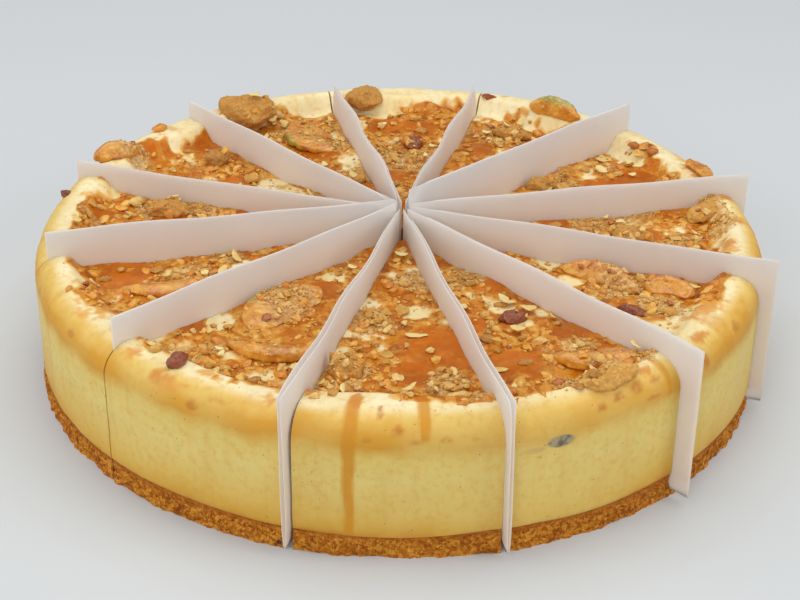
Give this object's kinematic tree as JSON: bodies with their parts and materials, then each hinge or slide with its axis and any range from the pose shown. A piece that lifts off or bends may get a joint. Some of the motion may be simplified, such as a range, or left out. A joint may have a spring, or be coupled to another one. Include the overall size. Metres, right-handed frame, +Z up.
{
  "type": "streusel cheesecake",
  "caption": "Round cheesecake on a crumb crust, cut into wedges with folded paper between them, topped with caramel, apple slices and streusel.",
  "frame": {"origin": "under the middle of the cake, level with its flat base", "axes": "+Z up through the cake, -Y towards the side the picture was taken from, +X to the right in the picture"},
  "size_m": [0.2398, 0.2406, 0.0584],
  "materials": {
    "filling": "baked cheesecake: pale yellow wall, cream rim, glossy caramel and crumbs on the bed",
    "crust": "crumbly golden-brown biscuit crust",
    "paper": "thin whitish paper with a slight sheen",
    "streusel": "dry sugary streusel, tan brown",
    "apple": "caramel-glazed apple, glossy orange brown",
    "nut": "glazed nut, reddish brown"
  },
  "bodies": {
    "root": {"apple_slice_back": "apple", "apple_slice_front_left": "apple", "apple_slice_front_low": "apple", "apple_slice_front_right": "apple", "apple_slice_left": "apple", "apple_slice_rear_left": "apple", "apple_slice_right": "apple", "apple_slice_right_outer": "apple", "apple_slice_rim_right": "apple", "apple_slice_standing": "apple", "crust_01": "crust", "crust_02": "crust", "crust_03": "crust", "crust_04": "crust", "crust_05": "crust", "crust_06": "crust", "crust_07": "crust", "crust_08": "crust", "crust_09": "crust", "crust_10": "crust", "crust_11": "crust", "crust_12": "crust", "divider_01": "paper", "divider_02": "paper", "divider_03": "paper", "divider_04": "paper", "divider_05": "paper", "divider_06": "paper", "divider_07": "paper", "divider_08": "paper", "divider_09": "paper", "divider_10": "paper", "divider_11": "paper", "divider_12": "paper", "filling_01": "filling", "filling_02": "filling", "filling_03": "filling", "filling_04": "filling", "filling_05": "filling", "filling_06": "filling", "filling_07": "filling", "filling_08": "filling", "filling_09": "filling", "filling_10": "filling", "filling_11": "filling", "filling_12": "filling", "nut_back": "nut", "nut_front_right": "nut", "nut_right": "nut", "nut_rim_left": "nut", "streusel_lump_back": "streusel", "streusel_lump_dark": "streusel", "streusel_lump_front": "streusel", "streusel_lump_large": "streusel", "streusel_lump_left": "streusel", "streusel_lump_nutty": "streusel", "streusel_lump_rear": "streusel", "streusel_lump_right": "streusel", "streusel_lump_rim_front": "streusel", "streusel_lump_rim_right": "streusel"}
  },
  "joints": []
}
